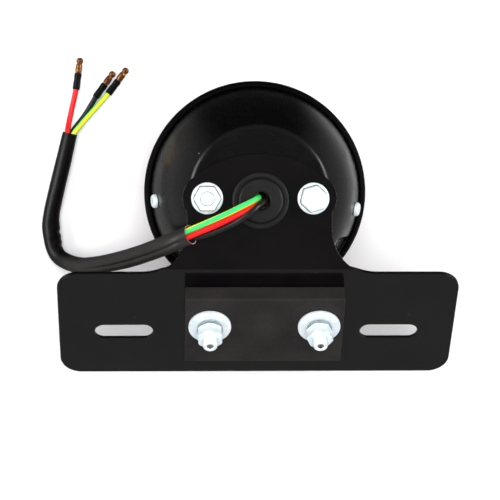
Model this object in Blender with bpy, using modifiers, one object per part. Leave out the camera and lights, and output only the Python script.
"""Round motorcycle tail light on a licence plate bracket, lying on its lens.

The row frame: the origin is the middle of the lens's flat front face, +Z runs along the lamp's axis and out
of its back, +X is the lamp's right seen from behind, and -Y is down when the lamp is on the motorcycle.
Sizes and places below are in millimetres, and MM turns them into the metres of the Blender scene.
"""

import math

import bmesh
import bpy
from mathutils import Matrix, Vector

MM = 0.001

# Turned pieces
STEPS = 36  # sides of the large turned shells
SMALL_STEPS = 20  # sides of fasteners and other small round pieces
GAP = 0.3  # clearance between pieces that meet in reality
SNUG = 0.15  # clearance in a stack of washers and nuts
SHARP_ANGLE = math.radians(30.0)  # edges sharper than this aren't shaded smooth

# Lamp: the bowl is pressed steel, with its flat back at BACK_Z
BACK_Z = 76.0
BOWL_WALL = 1.0
BACK_RADIUS = 28.5
SHOULDER = (30.0, 74.8)
WALL_FOOT = (45.5, 36.6)
SHOULDER_ANGLE = 25.0
FOOT_ANGLE = 67.0
RIM_RADIUS = 45.7
RIM_Z = 33.6
BEZEL_RADIUS = 48.5
LENS_RADIUS = 38.0
LENS_WALL = 2.5
LENS_FLAT = 31.0
WINDOW_TOP_Y = -18.5  # the bowl is cut away below this line
WINDOW_Z = (41.0, 60.0)

# Screws through the sides of the bowl into the bezel: angle round the lamp's axis, in degrees
SIDE_SCREW_ANGLES = {"left": 184.5, "right": 351.0}
SIDE_SCREW_TILT = 14.8  # of their axes, above the horizontal
SIDE_SCREW_AXIS_Z = 35.6  # where their axes meet the lamp's axis
SIDE_SCREW_SEAT = 44.85  # from there to the underside of the head

# Bracket: one sheet, bent along a line below the lamp
SHEET = 1.5
BRACKET_TOP = BACK_Z + GAP + SHEET
BEND_ANGLE = math.radians(40.0)
BEND_LINE_Y = -30.1
BEND_RADIUS = 3.0  # to the outer face
PLATE_HALF_WIDTH = 84.65
PLATE_LENGTH = 63.2  # from the bend line down the slope
PLATE_CORNER = 9.0
TOP_Y = 17.5
WAIST_HALF_WIDTH = 30.3
WAIST_BLEND = 6.0
FLARE_RADIUS = 19.5
WING_TOP = 3.2  # from the bend line down the slope to the wings' top edge
LOBE_RADIUS = 10.0
LOBE_X = 22.2
LOBE_Y = -0.8
UPPER_BOLTS = {"left": -21.9, "right": 22.3}
UPPER_BOLT_Y = -0.95
SLOT_X = 56.9
SLOT_LENGTH = 24.9
SLOT_WIDTH = 8.0
SLOT_DOWN = 37.9  # from the bend line down the slope to the slots' middle

# Rubber block and the two studs, in the sloping plate's own frame
BLOCK_MIDDLE_X = 2.6
BLOCK_WIDTH = 67.2
BLOCK_DOWN = (10.3, 48.1)
BLOCK_THICK = 8.0
STUD_DOWN = 25.5
STUD_HALF_SPACING = 23.1
STUD_REACH = 21.0  # from the plate's outer face to the stud's tip

# M6 hardware
M6_SHANK = 2.95
M6_BORE = 3.25
HEX_ACROSS_FLATS = 10.0
NUT_HEIGHT = 5.0

# Grommet, slightly below the lamp's axis
GROMMET_X = 0.3
GROMMET_Y = -1.8
GROMMET_HOLE = 3.65
PANEL_HOLE = 8.0

# Bulb holder: shell, sliding contact plate and spring on the lamp's axis
SHELL_RADIUS = 8.8
SHELL_WALL = 0.6
SHELL_MOUTH_Z = 42.5
SHELL_REAR_Z = 66.2
BRIDGE_Z = 62.0
BRIDGE_SHEET = 1.2
CONTACT_TRAVEL = 2.5
CONTACT_PLATE_Z = (58.6, 60.6)
CONTACT_OFFSET = 3.4
TIP_OFFSET = 3.0
PIN_ANGLES = {"upper_pin": (0.0, 50.0), "lower_pin": (180.0, 47.0)}
TWIST = 20.0  # turn from the locked bulb to the slots' mouths, in degrees

# Wires and sleeve
WIRE_RADIUS = 1.2
SLEEVE_WALL = 0.5

# Middle of the bundle of three wires, chosen by hand: up through the grommet, over its edge, across the
# bracket, down past the bowl to the table and round to the wire ends.
BUNDLE_ROUTE = [
    (0.3, -1.8, 72.5),
    (0.3, -1.8, 77.0),
    (0.1, -1.9, 81.2),
    (-1.7, -3.0, 84.4),
    (-5.4, -5.2, 85.7),
    (-10.5, -8.1, 85.3),
    (-16.6, -11.0, 84.3),
    (-23.0, -13.7, 83.3),
    (-29.8, -16.2, 82.3),
    (-35.0, -18.5, 80.6),
    (-40.2, -21.0, 76.0),
    (-45.7, -23.6, 69.0),
    (-51.2, -26.0, 60.5),
    (-56.9, -28.3, 51.0),
    (-63.2, -30.5, 40.5),
    (-70.1, -32.4, 29.0),
    (-76.2, -33.4, 19.0),
    (-81.9, -32.8, 11.0),
    (-86.9, -30.5, 6.0),
    (-89.3, -26.5, 4.4),
    (-90.3, -21.1, 4.25),
    (-90.8, -16.5, 4.2),
    (-90.5, -10.9, 3.8),
    (-88.5, -1.6, 3.75),
    (-85.2, 12.1, 3.7),
    (-82.1, 25.2, 3.5),
]
ROUTE_STEP = 7.0

# The sleeve covers the route from its point SLEEVE_START on. It's soft, so its radius changes along it.
SLEEVE_START = 8
SLEEVE_RADII = [4.15, 4.1, 4.05, 4.05, 4.05, 4.0, 3.9, 3.8, 3.7, 3.6, 3.6, 3.8, 4.0, 4.0, 3.6, 3.55, 3.5, 3.35]

# Where each wire lies in the bundle, to the right of the route and above it, at fractions of its length.
WIRE_PLACES = {
    "green": [
        (0.0, 1.33, -0.77),
        (0.045, 1.33, -0.77),
        (0.065, 1.7, -0.7),
        (0.09, 2.3, -0.4),
        (0.13, 2.5, 0.0),
        (0.18, 2.4, 0.2),
        (0.21, 2.1, 0.5),
        (0.25, 1.48, 0.4),
        (1.0, 1.25, 0.72),
    ],
    "red": [
        (0.0, -1.33, -0.77),
        (0.045, -1.33, -0.77),
        (0.065, -0.75, -0.85),
        (0.09, -0.1, -0.7),
        (0.13, 0.0, 0.0),
        (0.18, -0.1, 0.3),
        (0.21, -0.3, 0.85),
        (0.25, -1.08, 1.08),
        (1.0, -1.25, 0.72),
    ],
    "black": [
        (0.0, 0.0, 1.54),
        (0.045, 0.0, 1.54),
        (0.065, -0.75, 1.75),
        (0.09, -2.0, 1.3),
        (0.13, -2.6, 0.0),
        (0.18, -2.6, -0.75),
        (0.21, -1.65, -1.4),
        (0.25, -0.4, -1.48),
        (1.0, 0.0, -1.44),
    ],
}

# Each wire's own ends: from its terminal to the grommet, and from the sleeve to its insulator.
WIRE_HEADS = {
    "green": [(-7.6, 7.6, 64.4), (-7.6, 7.6, 67.4), (-6.2, 5.8, 70.0), (-3.2, 1.8, 71.2)],
    "red": [(0.0, -3.4, 61.3), (0.0, -3.4, 65.0), (0.2, -3.4, 69.0)],
    "black": [(0.0, 3.4, 61.3), (0.0, 3.4, 66.3), (0.6, 2.2, 69.0)],
}
WIRE_TAILS = {
    "green": [(-78.4, 27.6, 4.0), (-75.8, 30.8, 3.6), (-72.9, 34.1, 3.0), (-69.1, 38.4, 1.95), (-64.9, 43.1, 1.65)],
    "red": [(-82.9, 28.8, 2.5), (-82.2, 32.4, 1.5), (-81.3, 36.6, 1.3), (-80.3, 40.8, 1.35), (-79.4, 45.0, 1.65)],
    "black": [(-79.4, 28.2, 1.5), (-77.0, 31.4, 1.3), (-74.6, 34.8, 1.3), (-72.6, 38.1, 1.35), (-70.7, 41.4, 1.65)],
}
END_DIRECTIONS = {"green": (0.60, 0.80), "red": (0.133, 0.991), "black": (0.586, 0.810)}
COVER_LENGTH = 7.4
WIRE_INSERTION = 4.6
BULLET_START = 4.9
BULLET_LENGTH = 9.4

COLOURS = {
    # colour, roughness, metallic
    "black_paint": ((0.012, 0.012, 0.013), 0.25, 0.0),
    "zinc": ((0.72, 0.74, 0.78), 0.28, 1.0),
    "steel": ((0.60, 0.60, 0.60), 0.35, 1.0),
    "brass": ((0.66, 0.36, 0.16), 0.35, 1.0),
    "rubber": ((0.022, 0.021, 0.020), 0.85, 0.0),
    "foam": ((0.05, 0.05, 0.05), 0.95, 0.0),
    "black_pvc": ((0.015, 0.015, 0.016), 0.4, 0.0),
    "phenolic": ((0.20, 0.10, 0.05), 0.6, 0.0),
    "red_lens": ((0.60, 0.01, 0.01), 0.1, 0.0),
    "clear_plastic": ((0.85, 0.87, 0.88), 0.08, 0.0),
    "glass": ((0.90, 0.92, 0.93), 0.03, 0.0),
    "tungsten": ((0.35, 0.34, 0.33), 0.4, 1.0),
    "red_pvc": ((0.75, 0.02, 0.02), 0.35, 0.0),
    "green_pvc": ((0.05, 0.55, 0.12), 0.35, 0.0),
}


def start_scene():
    for old in list(bpy.data.objects):
        bpy.data.objects.remove(old)
    made = []
    for name in ("motorcycle_tail_light", "cutters"):
        collection = bpy.data.collections.new(name)
        bpy.context.scene.collection.children.link(collection)
        made.append(collection)
    return made


PARTS, CUTTERS = start_scene()


def material(name):
    found = bpy.data.materials.get(name)
    if found:
        return found
    colour, roughness, metallic = COLOURS[name]
    made = bpy.data.materials.new(name)
    made.use_nodes = True
    shader = made.node_tree.nodes["Principled BSDF"]
    shader.inputs["Base Color"].default_value = (*colour, 1.0)
    shader.inputs["Roughness"].default_value = roughness
    shader.inputs["Metallic"].default_value = metallic
    made.diffuse_color = (*colour, 1.0)
    return made


# ---------------------------------------------------------------- building blocks


def add_part(name, data, finish, parent=None):
    obj = bpy.data.objects.new(name, data)
    data.materials.append(material(finish))
    PARTS.objects.link(obj)
    obj.parent = parent
    return obj


def as_cutter(obj):
    """Moves an object to the cutters, where it shapes other pieces and isn't a piece itself."""
    for collection in list(obj.users_collection):
        collection.objects.unlink(obj)
    CUTTERS.objects.link(obj)
    obj.hide_render = True
    obj.display_type = "WIRE"
    return obj


def new_cutter(name, data, parent=None):
    obj = bpy.data.objects.new(name, data)
    obj.parent = parent
    return as_cutter(obj)


def empty(name, place, rotation=(0.0, 0.0, 0.0)):
    obj = bpy.data.objects.new(name, None)
    PARTS.objects.link(obj)
    obj.location = Vector(place) * MM
    obj.rotation_euler = rotation
    return obj


def boolean(target, tool, operation="DIFFERENCE"):
    modifier = target.modifiers.new(operation.lower(), "BOOLEAN")
    modifier.operation = operation
    modifier.solver = "EXACT"
    modifier.object = tool
    return target


def mesh_from(name, build):
    """A mesh filled by build(bm), in metres, with its faces pointing out."""
    bm = bmesh.new()
    build(bm)
    bmesh.ops.scale(bm, vec=(MM, MM, MM), verts=bm.verts)
    bmesh.ops.recalc_face_normals(bm, faces=bm.faces)
    data = bpy.data.meshes.new(name)
    bm.to_mesh(data)
    bm.free()
    data.shade_smooth()
    data.set_sharp_from_angle(angle=SHARP_ANGLE)
    return data


def prism_mesh(name, radius, low, high, segments=SMALL_STEPS, turn=0.0, top_radius=None):
    """A cylinder, cone or regular prism along Z between the heights low and high."""

    def build(bm):
        top = radius if top_radius is None else top_radius
        bmesh.ops.create_cone(
            bm, cap_ends=True, segments=segments, radius1=radius, radius2=top, depth=high - low
        )
        place = Matrix.Translation((0, 0, (low + high) / 2)) @ Matrix.Rotation(turn, 4, "Z")
        bmesh.ops.transform(bm, matrix=place, verts=bm.verts)

    return mesh_from(name, build)


def box_mesh(name, low, high, round_edges=0.0):
    def build(bm):
        bmesh.ops.create_cube(bm, size=1.0)
        size = Vector(high) - Vector(low)
        middle = (Vector(high) + Vector(low)) / 2
        bmesh.ops.scale(bm, vec=size, verts=bm.verts)
        bmesh.ops.translate(bm, vec=middle, verts=bm.verts)
        if round_edges:
            bmesh.ops.bevel(
                bm, geom=bm.edges[:], offset=round_edges, segments=2, profile=0.5, affect="EDGES"
            )

    return mesh_from(name, build)


def turned_mesh(name, profile):
    """The profile's points (radius, height), as edges in the XZ plane. A Screw modifier turns them."""
    area = sum(a[0] * b[1] - b[0] * a[1] for a, b in zip(profile, profile[1:] + profile[:1]))
    points = profile if area < 0 else profile[::-1]
    data = bpy.data.meshes.new(name)
    on_axis = points[0][0] == 0 and points[-1][0] == 0
    if not on_axis and any(radius == 0 for radius, height in points):
        start = next(i for i, p in enumerate(points) if p[0] == 0 and points[i - 1][0] == 0)
        points = points[start:] + points[:start]
        on_axis = True
    edges = [(i, i + 1) for i in range(len(points) - 1)]
    if not on_axis:
        edges.append((len(points) - 1, 0))
    data.from_pydata([(r * MM, 0.0, z * MM) for r, z in points], edges, [])
    return data


def turned(name, profile, finish, steps=STEPS, parent=None, cutter=False):
    data = turned_mesh(name, profile)
    obj = new_cutter(name, data, parent) if cutter else add_part(name, data, finish, parent)
    screw = obj.modifiers.new("screw", "SCREW")
    screw.steps = steps
    screw.render_steps = steps
    screw.use_merge_vertices = True
    screw.merge_threshold = 0.00001
    return obj


def arc(centre, radius, start, end, count):
    """count + 1 points on a circle, between two angles in degrees."""
    angles = [math.radians(start + (end - start) * i / count) for i in range(count + 1)]
    return [(centre[0] + radius * math.cos(a), centre[1] + radius * math.sin(a)) for a in angles]


def flat_curve(name, outlines, thickness):
    """A plate with holes: 2D curve, filled, between z = -thickness and z = 0."""
    data = bpy.data.curves.new(name, "CURVE")
    data.dimensions = "2D"
    data.fill_mode = "BOTH"
    data.extrude = thickness * MM / 2
    for points in outlines:
        spline = data.splines.new("POLY")
        spline.points.add(len(points) - 1)
        for point, (x, y) in zip(spline.points, points):
            point.co = (x * MM, y * MM, 0.0, 1.0)
        spline.use_cyclic_u = True
    obj = bpy.data.objects.new(name, data)
    bpy.context.scene.collection.objects.link(obj)
    mesh = to_mesh(obj)
    mesh.transform(Matrix.Translation((0, 0, -thickness * MM / 2)))
    return mesh


def to_mesh(curve_object):
    """The mesh of a curve object, with its caps welded on. The curve object is removed."""
    bpy.context.view_layer.update()
    graph = bpy.context.evaluated_depsgraph_get()
    mesh = bpy.data.meshes.new_from_object(curve_object.evaluated_get(graph))
    bpy.data.objects.remove(curve_object)
    bm = bmesh.new()
    bm.from_mesh(mesh)
    bmesh.ops.remove_doubles(bm, verts=bm.verts, dist=0.000001)
    bmesh.ops.recalc_face_normals(bm, faces=bm.faces)
    bm.to_mesh(mesh)
    bm.free()
    mesh.shade_smooth()
    mesh.set_sharp_from_angle(angle=SHARP_ANGLE)
    return mesh


def tube_curve(name, points, radius, resolution=2, caps=True, cyclic=False):
    """A round bar or wire along the points, as a curve object's data."""
    data = bpy.data.curves.new(name, "CURVE")
    data.dimensions = "3D"
    data.bevel_depth = radius * MM
    data.bevel_resolution = resolution
    data.use_fill_caps = caps
    spline = data.splines.new("POLY")
    spline.points.add(len(points) - 1)
    for point, place in zip(spline.points, points):
        point.co = (*(Vector(place) * MM), 1.0)
    spline.use_cyclic_u = cyclic
    return data


# ---------------------------------------------------------------- bowl, bezel and lens


def bowl_side(inset=0.0, low_z=WALL_FOOT[1], count=5):
    """The bowl's curved wall from its shoulder down, moved inwards by inset. It is part of an ellipse."""
    start = math.radians(SHOULDER_ANGLE)
    foot = math.radians(FOOT_ANGLE)
    across = (WALL_FOOT[0] - SHOULDER[0]) / (math.sin(foot) - math.sin(start))
    up = (SHOULDER[1] - WALL_FOOT[1]) / (math.cos(start) - math.cos(foot))
    middle = (SHOULDER[0] - across * math.sin(start), SHOULDER[1] - up * math.cos(start))
    end = math.acos((low_z - middle[1]) / up)
    points = []
    for i in range(count + 1):
        a = start + (end - start) * i / count
        normal = Vector((math.sin(a) / across, math.cos(a) / up)).normalized()
        wall = Vector((middle[0] + across * math.sin(a), middle[1] + up * math.cos(a)))
        points.append(tuple(wall - normal * inset))
    return points


def make_bowl():
    wall = BOWL_WALL
    outer = [(0.0, BACK_Z), (BACK_RADIUS, BACK_Z)]
    outer += bowl_side()
    outer += [(RIM_RADIUS, 35.4), (RIM_RADIUS, RIM_Z)]
    inner = [(RIM_RADIUS - wall, RIM_Z), (RIM_RADIUS - wall, 35.3)]
    inner += bowl_side(wall)[::-1]
    inner += [(BACK_RADIUS - 0.4, BACK_Z - wall), (0.0, BACK_Z - wall)]
    bowl = turned("bowl", outer + inner, "black_paint")
    boolean(bowl, window_cutter("window_opening", 0.0))
    for side, angle in SIDE_SCREW_ANGLES.items():
        boolean(bowl, radial_hole("bowl_screw_hole_" + side, angle, 2.1))
    holes = {side: (x, UPPER_BOLT_Y, M6_BORE) for side, x in UPPER_BOLTS.items()}
    holes["grommet"] = (GROMMET_X, GROMMET_Y, PANEL_HOLE)
    for name, (x, y, radius) in holes.items():
        hole = new_cutter("bowl_hole_" + name, prism_mesh("hole", radius, 70, 80))
        hole.location = Vector((x, y, 0)) * MM
        boolean(bowl, hole)


def window_cutter(name, inset):
    """A bar along X with rounded edges, which cuts the plate light's window into the bowl's lower side."""
    low = (-60, -70, WINDOW_Z[0] + inset)
    high = (60, WINDOW_TOP_Y - inset, WINDOW_Z[1] - inset)

    def build(bm):
        bmesh.ops.create_cube(bm, size=1.0)
        bmesh.ops.scale(bm, vec=Vector(high) - Vector(low), verts=bm.verts)
        bmesh.ops.translate(bm, vec=(Vector(high) + Vector(low)) / 2, verts=bm.verts)
        near = [
            edge
            for edge in bm.edges
            if all(abs(v.co.y - high[1]) < 0.01 for v in edge.verts)
            and abs(edge.verts[0].co.z - edge.verts[1].co.z) < 0.01
        ]
        bmesh.ops.bevel(bm, geom=near, offset=3.0, segments=4, profile=0.5, affect="EDGES")

    return new_cutter(name, mesh_from(name, build))


def radial_hole(name, angle, radius):
    """A cylinder along a side screw's axis, which points away from the lamp's axis and a little up."""
    cutter = new_cutter(name, prism_mesh(name, radius, 30, 60, segments=16))
    cutter.rotation_euler = (0.0, math.radians(90.0 - SIDE_SCREW_TILT), math.radians(angle))
    cutter.location = (0.0, 0.0, SIDE_SCREW_AXIS_Z * MM)
    return cutter


def make_bezel():
    """A rounded ring round the rim, whose skirt carries the lens and ends in a tab behind each side screw."""
    profile = [
        (38.5, 25.2),
        (43.5, 24.8),
        (47.2, 27.0),
        (BEZEL_RADIUS, 30.6),
        (BEZEL_RADIUS, 33.8),
        (47.7, 35.6),
        (46.0, 36.0),
        (46.0, 33.2),
        (41.2, 33.2),
        (41.2, 49.4),
        (40.4, 49.4),
        (40.4, 27.4),
        (38.5, 27.4),
    ]
    bezel = turned("bezel_ring", profile, "black_paint")
    for name, low_y, high_y in (("above", 5.5, 60), ("below", -60, -15.5)):
        tab_cut = new_cutter("tabs_" + name, box_mesh("tabs", (-60, low_y, 38.2), (60, high_y, 60)))
        boolean(bezel, tab_cut)
    for side, angle in SIDE_SCREW_ANGLES.items():
        boolean(bezel, radial_hole("tab_hole_" + side, angle, 1.8))


def make_lens():
    wall = LENS_WALL
    outer = [
        (0.0, 0.0),
        (LENS_FLAT, 0.0),
        (33.9, 1.1),
        (35.6, 4.0),
        (LENS_RADIUS, 24.0),
        (LENS_RADIUS, 27.7),
        (40.1, 27.7),
        (40.1, 30.2),
    ]
    inner = [
        (36.0, 30.2),
        (35.6, 24.5),
        (33.2, 5.0),
        (31.9, 3.2),
        (29.5, wall),
        (0.0, wall),
    ]
    turned("lens", outer + inner, "red_lens")
    gasket = [(36.2, 30.5), (40.1, 30.5), (40.1, 32.2), (36.2, 32.2)]
    turned("lens_gasket", gasket, "foam", steps=32)
    turned("lens_snap_ring", arc((39.3, 33.4), 0.85, 0, 300, 5), "steel", steps=30)


def window_strip(name, inset, thick, finish):
    """A strip that follows the bowl's wall inside the window opening."""
    outer = bowl_side(inset, WALL_FOOT[1] + 0.2)
    inner = bowl_side(inset + thick, WALL_FOOT[1] + 0.2)
    outer = [p for p in outer if p[1] < WINDOW_Z[1] + 8]
    inner = [p for p in inner if p[1] < WINDOW_Z[1] + 8]
    strip = turned(name, outer + inner[::-1], finish)
    keep = new_cutter(name + "_side", box_mesh(name, (-60, -70, 30), (60, WINDOW_TOP_Y + 2.8, 75)))
    boolean(strip, keep, "INTERSECT")
    return strip


def make_window():
    seal = window_strip("window_seal", BOWL_WALL + 0.2, 0.7, "rubber")
    boolean(seal, window_cutter("seal_opening", -0.4))
    window_strip("plate_light_window", BOWL_WALL + 1.1, 1.6, "clear_plastic")


def make_side_screws():
    for side, angle in SIDE_SCREW_ANGLES.items():
        profile = [
            (0.0, SIDE_SCREW_SEAT - 6.6),
            (1.1, SIDE_SCREW_SEAT - 6.6),
            (1.5, SIDE_SCREW_SEAT - 6.0),
            (1.5, SIDE_SCREW_SEAT),
            (3.0, SIDE_SCREW_SEAT),
            (3.0, SIDE_SCREW_SEAT + 1.0),
            (2.4, SIDE_SCREW_SEAT + 1.7),
            (0.0, SIDE_SCREW_SEAT + 1.9),
        ]
        screw = turned("side_screw_" + side, profile, "zinc", steps=16)
        screw.rotation_euler = (0.0, math.radians(90.0 - SIDE_SCREW_TILT), math.radians(angle))
        screw.location = (0.0, 0.0, SIDE_SCREW_AXIS_Z * MM)
        for turn in (0.0, 90.0):
            slot_mesh = box_mesh("drive", (-1.7, -0.4, SIDE_SCREW_SEAT + 1.1), (1.7, 0.4, SIDE_SCREW_SEAT + 3))
            slot = new_cutter(f"drive_{side}_{turn:.0f}", slot_mesh, screw)
            slot.rotation_euler = (0.0, 0.0, math.radians(turn + 20.0))
            boolean(screw, slot)


# ---------------------------------------------------------------- bracket


def bracket_half():
    """Half of the flat pattern, from the middle of its top edge round to the middle of its bottom edge."""
    rise = TOP_Y - LOBE_Y
    top_radius = (LOBE_X**2 + rise**2 - LOBE_RADIUS**2) / (2 * (rise - LOBE_RADIUS))
    top_middle = (0.0, TOP_Y - top_radius)
    meet = math.degrees(math.atan2(LOBE_Y - top_middle[1], LOBE_X))
    blend_x = WAIST_HALF_WIDTH + WAIST_BLEND
    reach = LOBE_RADIUS + WAIST_BLEND
    drop = math.sqrt(reach**2 - (blend_x - LOBE_X) ** 2)
    leave = -math.degrees(math.atan2(drop, blend_x - LOBE_X))
    wing_y = BEND_LINE_Y - WING_TOP
    bottom_y = BEND_LINE_Y - PLATE_LENGTH
    corner_x = PLATE_HALF_WIDTH - PLATE_CORNER
    flare = (WAIST_HALF_WIDTH + FLARE_RADIUS, wing_y + FLARE_RADIUS)
    points = arc(top_middle, top_radius, 90, meet, 6)[1:]
    points += arc((LOBE_X, LOBE_Y), LOBE_RADIUS, meet, leave, 8)[1:]
    points += arc((blend_x, LOBE_Y - drop), WAIST_BLEND, 180 + leave, 180, 3)[1:]
    points += arc(flare, FLARE_RADIUS, 180, 270, 8)
    points += arc((corner_x, wing_y - PLATE_CORNER), PLATE_CORNER, 90, 0, 6)
    points += arc((corner_x, bottom_y + PLATE_CORNER), PLATE_CORNER, 0, -90, 6)
    return points


def hole_outlines():
    circles = [((x, UPPER_BOLT_Y), M6_BORE) for x in UPPER_BOLTS.values()]
    circles.append(((GROMMET_X, GROMMET_Y), PANEL_HOLE))
    for side in (-1, 1):
        stud_x = BLOCK_MIDDLE_X + side * STUD_HALF_SPACING
        circles.append(((stud_x, BEND_LINE_Y - STUD_DOWN), M6_BORE))
    found = [arc(middle, radius, 0, 345, 23) for middle, radius in circles]
    half = (SLOT_LENGTH - SLOT_WIDTH) / 2
    slot_y = BEND_LINE_Y - SLOT_DOWN
    for x in (-SLOT_X, SLOT_X):
        right = arc((x + half, slot_y), SLOT_WIDTH / 2, -90, 90, 8)
        left = arc((x - half, slot_y), SLOT_WIDTH / 2, 90, 270, 8)
        found.append(right + left)
    return found


def bent(point):
    """A point of the flat pattern, in metres, after the sheet is bent."""
    x, y, z = (value / MM for value in point)
    tangent = BEND_RADIUS * math.tan(BEND_ANGLE / 2)
    start = BEND_LINE_Y + tangent
    part = min(max((start - y) / (2 * tangent), 0.0), 1.0)
    angle = BEND_ANGLE * part
    radius = BEND_RADIUS + z
    beyond = max(start - 2 * tangent - y, 0.0)
    if part == 0.0:
        return Vector((x, y, z)) * MM
    y = start - radius * math.sin(angle) - beyond * math.cos(angle)
    z = -BEND_RADIUS + radius * math.cos(angle) - beyond * math.sin(angle)
    return Vector((x, y, z)) * MM


def make_bracket():
    half = bracket_half()
    outline = [(0.0, TOP_Y)] + half + [(-x, y) for x, y in half[::-1]]
    data = flat_curve("mounting_bracket", [outline] + hole_outlines(), SHEET)
    tangent = BEND_RADIUS * math.tan(BEND_ANGLE / 2)
    bm = bmesh.new()
    bm.from_mesh(data)
    folds = 6
    for i in range(folds + 1):
        y = (BEND_LINE_Y + tangent - 2 * tangent * i / folds) * MM
        geometry = bm.verts[:] + bm.edges[:] + bm.faces[:]
        bmesh.ops.bisect_plane(bm, geom=geometry, plane_co=(0, y, 0), plane_no=(0, 1, 0))
    for vertex in bm.verts:
        vertex.co = bent(vertex.co)
    bmesh.ops.recalc_face_normals(bm, faces=bm.faces)
    bm.to_mesh(data)
    bm.free()
    bracket = add_part("mounting_bracket", data, "black_paint")
    bracket.location = (0.0, 0.0, BRACKET_TOP * MM)


# ---------------------------------------------------------------- fasteners


def hex_radius(across_flats):
    return across_flats / math.sqrt(3)


def make_bolt(name, parent, place, length, flange, dish, flip=False):
    """A hex bolt whose head sits on z = 0 of its own frame, with its shank along -Z."""
    head_low = 1.2 if flange else 0.0
    head_high = 5.0 if flange else 4.0
    profile = [(0.0, -length), (M6_SHANK - 0.6, -length), (M6_SHANK, 0.6 - length), (M6_SHANK, 0.0)]
    if flange:
        profile += [(6.65, 0.0), (6.65, 0.7), (5.7, head_low), (4.0, head_low), (4.0, 2.0), (0.0, 2.0)]
    else:
        profile += [(4.0, 0.0), (4.0, 2.0), (0.0, 2.0)]
    bolt = turned(name, profile, "zinc", steps=SMALL_STEPS, parent=parent)
    bolt.location = Vector(place) * MM
    bolt.rotation_euler = (math.radians(180.0) if flip else 0.0, 0.0, 0.0)
    low = head_low - 0.4 if flange else 0.0
    head_mesh = prism_mesh("head", hex_radius(HEX_ACROSS_FLATS), low, head_high, 6, math.radians(10.0))
    head = new_cutter(name + "_head", head_mesh, bolt)
    boolean(bolt, head, "UNION")
    if dish:
        cone = prism_mesh("dish", 2.2, head_high - 0.8, head_high + 0.4, 16, 0.0, 4.0)
        boolean(bolt, new_cutter(name + "_dish", cone, bolt))
    return bolt


def make_nut(name, parent, place, turn):
    data = prism_mesh(name, hex_radius(HEX_ACROSS_FLATS), 0.0, NUT_HEIGHT, 6, math.radians(turn))
    nut = add_part(name, data, "zinc", parent)
    nut.location = Vector(place) * MM
    bore = new_cutter(name + "_bore", prism_mesh("bore", M6_BORE, -1, NUT_HEIGHT + 1), nut)
    boolean(nut, bore)


def ring_profile(inner, outer, low, high):
    return [(inner, low), (outer, low), (outer, high), (inner, high)]


def make_upper_fasteners():
    for side, x in UPPER_BOLTS.items():
        place = (x, UPPER_BOLT_Y, BRACKET_TOP + SNUG)
        make_bolt("upper_bolt_" + side, None, place, 12.0, flange=True, dish=True)
        make_nut("inner_nut_" + side, None, (x, UPPER_BOLT_Y, 68.2), 30.0)


def make_block_and_studs():
    """Everything on the sloping plate, in a frame whose +Z leaves the plate and whose -Y runs down it."""
    frame = empty("plate_frame", (0.0, BEND_LINE_Y, BRACKET_TOP), (BEND_ANGLE, 0.0, 0.0))
    half = BLOCK_WIDTH / 2
    low = (BLOCK_MIDDLE_X - half, -BLOCK_DOWN[1], GAP)
    high = (BLOCK_MIDDLE_X + half, -BLOCK_DOWN[0], GAP + BLOCK_THICK)
    block = add_part("rubber_block", box_mesh("rubber_block", low, high, 0.6), "rubber", frame)
    washer_low = GAP + BLOCK_THICK + SNUG
    spring_low = washer_low + 1.5 + SNUG
    nut_low = spring_low + 1.7 + SNUG
    for side, sign, turn in (("left", -1, 4.0), ("right", 1, 22.0)):
        x = BLOCK_MIDDLE_X + sign * STUD_HALF_SPACING
        y = -STUD_DOWN
        hole = new_cutter("block_hole_" + side, prism_mesh("hole", M6_BORE, -5, 20), frame)
        hole.location = Vector((x, y, 0)) * MM
        boolean(block, hole)
        head_place = (x, y, -SHEET - SNUG)
        length = STUD_REACH + SHEET + SNUG
        make_bolt("stud_" + side, frame, head_place, length, flange=False, dish=False, flip=True)
        washer = turned(
            "flat_washer_" + side,
            ring_profile(M6_BORE, 9.0, washer_low, washer_low + 1.5),
            "zinc",
            steps=28,
            parent=frame,
        )
        washer.location = Vector((x, y, 0)) * MM
        spring = turned(
            "spring_washer_" + side,
            ring_profile(3.3, 5.4, spring_low, spring_low + 1.7),
            "zinc",
            steps=SMALL_STEPS,
            parent=frame,
        )
        spring.location = Vector((x, y, 0)) * MM
        slit_mesh = box_mesh("slit", (-0.5, -7, -2), (0.5, 0, 2))
        slit = new_cutter("slit_" + side, slit_mesh, spring)
        slit.location = (0.0, 0.0, (spring_low + 0.85) * MM)
        slit.rotation_euler = (0.0, math.radians(30.0), math.radians(20.0))
        boolean(spring, slit)
        make_nut("stud_nut_" + side, frame, (x, y, nut_low), turn)


# ---------------------------------------------------------------- grommet and bulb holder


def make_grommet():
    profile = [
        (GROMMET_HOLE, 73.2),
        (10.0, 73.2),
        (10.6, 74.7),
        (PANEL_HOLE - GAP, 74.7),
        (PANEL_HOLE - GAP, BRACKET_TOP + 0.2),
        (11.9, BRACKET_TOP + 0.2),
        (11.9, BRACKET_TOP + 1.0),
        (11.2, BRACKET_TOP + 1.7),
        (9.5, BRACKET_TOP + 1.8),
        (9.3, BRACKET_TOP + 3.1),
        (8.7, BRACKET_TOP + 3.8),
        (4.2, BRACKET_TOP + 3.9),
        (GROMMET_HOLE, BRACKET_TOP + 3.4),
    ]
    grommet = turned("cable_grommet", profile, "rubber", steps=24)
    grommet.location = (GROMMET_X * MM, GROMMET_Y * MM, 0.0)


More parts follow.
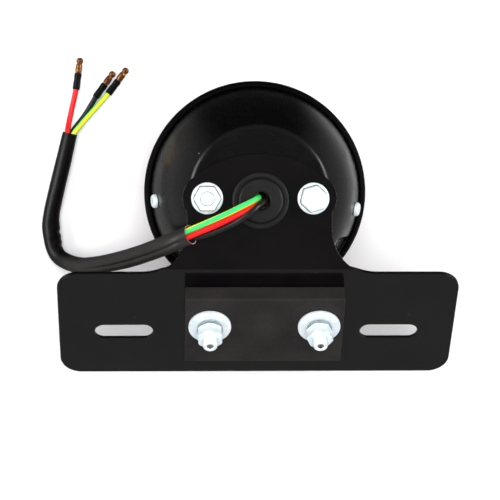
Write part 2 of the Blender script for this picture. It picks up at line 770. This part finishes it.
def make_bridge():
    """A bent strip under the upper bolts' nuts, which carries the bulb holder on the lamp's axis."""
    foot_top = BACK_Z - BOWL_WALL - GAP
    foot_low = foot_top - BRIDGE_SHEET
    leg = 14.0
    thick = BRIDGE_SHEET
    outline = [
        (27.2, foot_top),
        (leg, foot_top),
        (leg, BRIDGE_Z + thick),
        (-leg, BRIDGE_Z + thick),
        (-leg, foot_top),
        (-27.2, foot_top),
        (-27.2, foot_low),
        (-leg - thick, foot_low),
        (-leg - thick, BRIDGE_Z),
        (leg + thick, BRIDGE_Z),
        (leg + thick, foot_low),
        (27.2, foot_low),
    ]
    data = flat_curve("socket_bridge", [outline], 12.0)
    data.transform(Matrix.Rotation(math.radians(90.0), 4, "X"))
    data.transform(Matrix.Translation((0.0, -6.0 * MM, 0.0)))
    bridge = add_part("socket_bridge", data, "steel")
    disc = prism_mesh("disc", 12.5, BRIDGE_Z, BRIDGE_Z + thick, 32)
    boolean(bridge, new_cutter("bridge_disc", disc), "UNION")
    boolean(bridge, new_cutter("bridge_hole", prism_mesh("hole", SHELL_RADIUS + GAP, 60, 65, 32)))
    for side, x in UPPER_BOLTS.items():
        hole = new_cutter("bridge_bolt_hole_" + side, prism_mesh("hole", M6_BORE, 70, 80, 16))
        hole.location = Vector((x, UPPER_BOLT_Y, 0)) * MM
        boolean(bridge, hole)
    cup = [(0.0, 63.4), (1.8, 63.4), (1.8, 67.0), (1.4, 67.0), (1.4, 64.0), (0.0, 64.0)]
    terminal = turned("ground_terminal", cup, "brass", steps=12)
    terminal.location = (-7.6 * MM, 7.6 * MM, 0.0)


def make_shell():
    outer = SHELL_RADIUS
    inner = SHELL_RADIUS - SHELL_WALL
    profile = [
        (inner, SHELL_MOUTH_Z),
        (outer, SHELL_MOUTH_Z),
        (outer, 60.9),
        (10.5, 60.9),
        (10.5, BRIDGE_Z - GAP),
        (outer, BRIDGE_Z - GAP),
        (outer, SHELL_REAR_Z),
        (5.6, SHELL_REAR_Z),
        (5.6, SHELL_REAR_Z - 0.6),
        (inner, SHELL_REAR_Z - 0.6),
    ]
    shell = turned("socket_shell", profile, "zinc", steps=28)
    for name, (angle, height) in PIN_ANGLES.items():
        low = height - 1.4
        high = height + 1.4 + CONTACT_TRAVEL
        leg_mesh = box_mesh("leg", (6, -4.4, low), (11, 1.5, high))
        leg = new_cutter(name + "_leg", leg_mesh)
        leg.rotation_euler = (0.0, 0.0, math.radians(angle))
        boolean(shell, leg)
        mouth_mesh = box_mesh("mouth", (6, -1.5, SHELL_MOUTH_Z - 2), (11, 1.5, high - 0.4))
        mouth = new_cutter(name + "_mouth", mouth_mesh)
        mouth.rotation_euler = (0.0, 0.0, math.radians(angle - TWIST))
        boolean(shell, mouth)


def make_contacts():
    low, high = CONTACT_PLATE_Z
    plate_mesh = prism_mesh("contact_plate", 7.8, low, high, 24)
    plate = add_part("contact_plate", plate_mesh, "phenolic")
    for name, y in (("tail", -CONTACT_OFFSET), ("brake", CONTACT_OFFSET)):
        bore = new_cutter(name + "_bore", prism_mesh("bore", 2.3, low - 2, high + 2, 10))
        bore.location = (0.0, y * MM, 0.0)
        boolean(plate, bore)
        cup = [
            (0.0, 57.6),
            (2.0, 57.7),
            (2.6, 58.0),
            (2.6, 58.4),
            (2.0, 58.4),
            (2.0, 63.4),
            (1.5, 63.4),
            (1.5, 58.5),
            (0.0, 58.5),
        ]
        contact = turned(f"contact_{name}", cup, "brass", steps=12)
        contact.location = (0.0, y * MM, 0.0)
    turns = 2.0
    per_turn = 12
    wire = 0.35
    spring_low = high + wire + 0.15
    spring_high = SHELL_REAR_Z - 0.6 - wire - 0.15
    points = []
    for i in range(int(turns * per_turn) + 1):
        angle = 2 * math.pi * i / per_turn
        height = spring_low + (spring_high - spring_low) * i / (turns * per_turn)
        points.append((6.9 * math.cos(angle), 6.9 * math.sin(angle), height))
    data = tube_curve("contact_spring", points, wire, resolution=1)
    add_part("contact_spring", data, "steel")


def make_bulb():
    frame = empty("bulb_axis", (0.0, 0.0, 0.0))
    base = [(6.95, 40.5), (7.5, 40.5), (7.5, 55.2), (7.1, 55.6), (5.7, 55.6), (5.7, 55.1), (6.95, 55.1)]
    body = turned("bulb_base", base, "brass", steps=24, parent=frame)
    for name, (angle, height) in PIN_ANGLES.items():
        pin = new_cutter(name, prism_mesh(name, 1.0, 7.2, 8.9, 12), frame)
        pin.rotation_euler = (0.0, math.radians(90.0), math.radians(angle))
        pin.location = (0.0, 0.0, height * MM)
        boolean(body, pin, "UNION")
    disc = [(0.0, 54.4), (5.3, 54.4), (5.3, 56.4), (0.0, 56.4)]
    insulator = turned("bulb_insulator", disc, "black_pvc", steps=20, parent=frame)
    for name, y in (("tail", -TIP_OFFSET), ("brake", TIP_OFFSET)):
        bore = new_cutter("insulator_bore_" + name, prism_mesh("bore", 1.6, 50, 60, 10), frame)
        bore.location = (0.0, y * MM, 0.0)
        boolean(insulator, bore)
        tip_profile = [(0.0, 54.6), (1.35, 54.6), (1.35, 56.9), (0.9, 57.3), (0.0, 57.45)]
        tip = turned("bulb_tip_" + name, tip_profile, "zinc", steps=12, parent=frame)
        tip.location = (0.0, y * MM, 0.0)
    outer = [
        (6.6, 44.0),
        (6.6, 39.5),
        (10.6, 30.6),
        (12.0, 25.0),
        (12.0, 20.0),
        (10.8, 14.8),
        (7.6, 10.0),
        (0.0, 7.5),
    ]
    inner = [
        (0.0, 8.3),
        (7.0, 10.7),
        (10.0, 15.2),
        (11.2, 20.2),
        (11.2, 24.8),
        (9.8, 30.2),
        (5.9, 39.2),
        (5.9, 44.0),
    ]
    turned("bulb_glass", outer + inner, "glass", steps=24, parent=frame)
    stem = [(0.0, 28.0), (1.2, 28.0), (1.6, 30.0), (1.8, 38.0), (5.2, 43.0), (5.2, 44.4), (0.0, 44.4)]
    turned("bulb_stem", stem, "glass", steps=12, parent=frame)
    for name, y, tip_z, half in (("tail", -2.6, 19.5, 4.0), ("brake", 2.6, 22.5, 3.4)):
        points = [(-half, y, 29.5), (-half, y, tip_z + 2.0), (-half, y, tip_z)]
        coils = 5
        for i in range(coils * 2 + 1):
            across = -half + 2 * half * (i + 1) / (coils * 2 + 2)
            points.append((across, y + (0.45 if i % 2 else -0.45), tip_z))
        points += [(half, y, tip_z), (half, y, tip_z + 2.0), (half, y, 29.5)]
        points = [(-0.5, y, 31.2)] + points + [(0.5, y, 31.2)]
        data = tube_curve("filament_" + name, points, 0.14, resolution=1)
        add_part("filament_" + name, data, "tungsten", frame)


# ---------------------------------------------------------------- wires and sleeve


def smooth(points, index, count):
    """count points on the Catmull-Rom curve through the points, from one point up to the next."""
    p = [Vector(points[min(max(i, 0), len(points) - 1)]) for i in range(index - 1, index + 3)]
    found = []
    for k in range(count):
        t = k / count
        found.append(
            0.5
            * (
                2 * p[1]
                + (p[2] - p[0]) * t
                + (2 * p[0] - 5 * p[1] + 4 * p[2] - p[3]) * t**2
                + (3 * p[1] - p[0] - 3 * p[2] + p[3]) * t**3
            )
        )
    return found


def bundle_line():
    """Points on the smooth bundle route, the index of the sleeve's first one, and the sleeve's radius at each."""
    line = []
    radii = []
    sleeve_first = 0
    for i in range(len(BUNDLE_ROUTE) - 1):
        if i == SLEEVE_START:
            sleeve_first = len(line)
        long = (Vector(BUNDLE_ROUTE[i + 1]) - Vector(BUNDLE_ROUTE[i])).length
        count = max(1, round(long / ROUTE_STEP))
        line += smooth(BUNDLE_ROUTE, i, count)
        if i >= SLEEVE_START:
            a, b = SLEEVE_RADII[i - SLEEVE_START : i - SLEEVE_START + 2]
            radii += [a + (b - a) * k / count for k in range(count)]
    line.append(Vector(BUNDLE_ROUTE[-1]))
    radii.append(SLEEVE_RADII[-1])
    return line, sleeve_first, radii


def wire_place(colour, part):
    """How far right of the route and above it a wire lies, at a fraction of the route's length."""
    keys = WIRE_PLACES[colour]
    for (a, *first), (b, *second) in zip(keys, keys[1:]):
        if part <= b:
            t = (part - a) / (b - a)
            return [f + (s - f) * t for f, s in zip(first, second)]
    return keys[-1][1:]


def wire_line(colour, line):
    """The wire's own line: its terminal, the bundle's route with the wire's place in it, and its loose end."""
    lengths = [0.0]
    for a, b in zip(line, line[1:]):
        lengths.append(lengths[-1] + (b - a).length)
    middle = []
    for i, point in enumerate(line):
        along = line[min(i + 1, len(line) - 1)] - line[max(i - 1, 0)]
        along.normalize()
        right = Vector((along.y, -along.x, 0.0))
        if right.length < 0.15:
            ahead = Vector(BUNDLE_ROUTE[5]) - Vector(BUNDLE_ROUTE[1])
            right = Vector((ahead.y, -ahead.x, 0.0))
        right.normalize()
        above = right.cross(along)
        across, up = wire_place(colour, lengths[i] / lengths[-1])
        middle.append(point + right * across + above * up)
    head = [Vector(p) for p in WIRE_HEADS[colour]]
    tail = [Vector(p) for p in WIRE_TAILS[colour]]
    end = tail[-1] + Vector((*END_DIRECTIONS[colour], 0.0)).normalized() * WIRE_INSERTION
    return head + middle + tail + [end]


def make_wires():
    line, sleeve_first, radii = bundle_line()
    for colour, finish in (("green", "green_pvc"), ("red", "red_pvc"), ("black", "black_pvc")):
        points = wire_line(colour, line)
        data = tube_curve(f"wire_{colour}", points, WIRE_RADIUS)
        add_part(f"wire_{colour}", data, finish)
        make_wire_end(colour)
    data = tube_curve("wire_sleeve", line[sleeve_first:], 1.0, resolution=3, caps=False)
    for point, radius in zip(data.splines[0].points, radii):
        point.radius = radius
    guide = bpy.data.objects.new("sleeve_guide", data)
    bpy.context.scene.collection.objects.link(guide)
    sleeve = add_part("wire_sleeve", to_mesh(guide), "black_pvc")
    solidify = sleeve.modifiers.new("wall", "SOLIDIFY")
    solidify.thickness = SLEEVE_WALL * MM
    solidify.offset = -1.0


def make_wire_end(colour):
    """The insulator and the brass bullet on a wire's loose end, built along Z and laid on the table."""
    start = Vector(WIRE_TAILS[colour][-1])
    direction = Vector((*END_DIRECTIONS[colour], 0.0)).normalized()
    frame = empty(f"{colour}_end", start)
    frame.rotation_euler = direction.to_track_quat("Z", "Y").to_euler()
    cover = [
        (1.3, 0.0),
        (1.5, 0.0),
        (1.6, 0.5),
        (1.6, COVER_LENGTH - 0.5),
        (1.5, COVER_LENGTH),
        (1.3, COVER_LENGTH),
    ]
    turned(f"insulator_{colour}", cover, "black_pvc", steps=12, parent=frame)
    low = BULLET_START
    high = low + BULLET_LENGTH
    bullet = [
        (0.0, low),
        (1.15, low),
        (1.15, COVER_LENGTH + 0.3),
        (1.45, COVER_LENGTH + 0.3),
        (1.45, high - 3.3),
        (1.15, high - 2.9),
        (1.15, high - 2.5),
        (1.5, high - 2.1),
        (1.4, high - 0.8),
        (0.8, high - 0.1),
        (0.0, high),
    ]
    turned(f"bullet_{colour}", bullet, "brass", steps=12, parent=frame)


make_bowl()
make_bezel()
make_lens()
make_window()
make_side_screws()
make_bracket()
make_upper_fasteners()
make_block_and_studs()
make_grommet()
make_bridge()
make_shell()
make_contacts()
make_bulb()
make_wires()
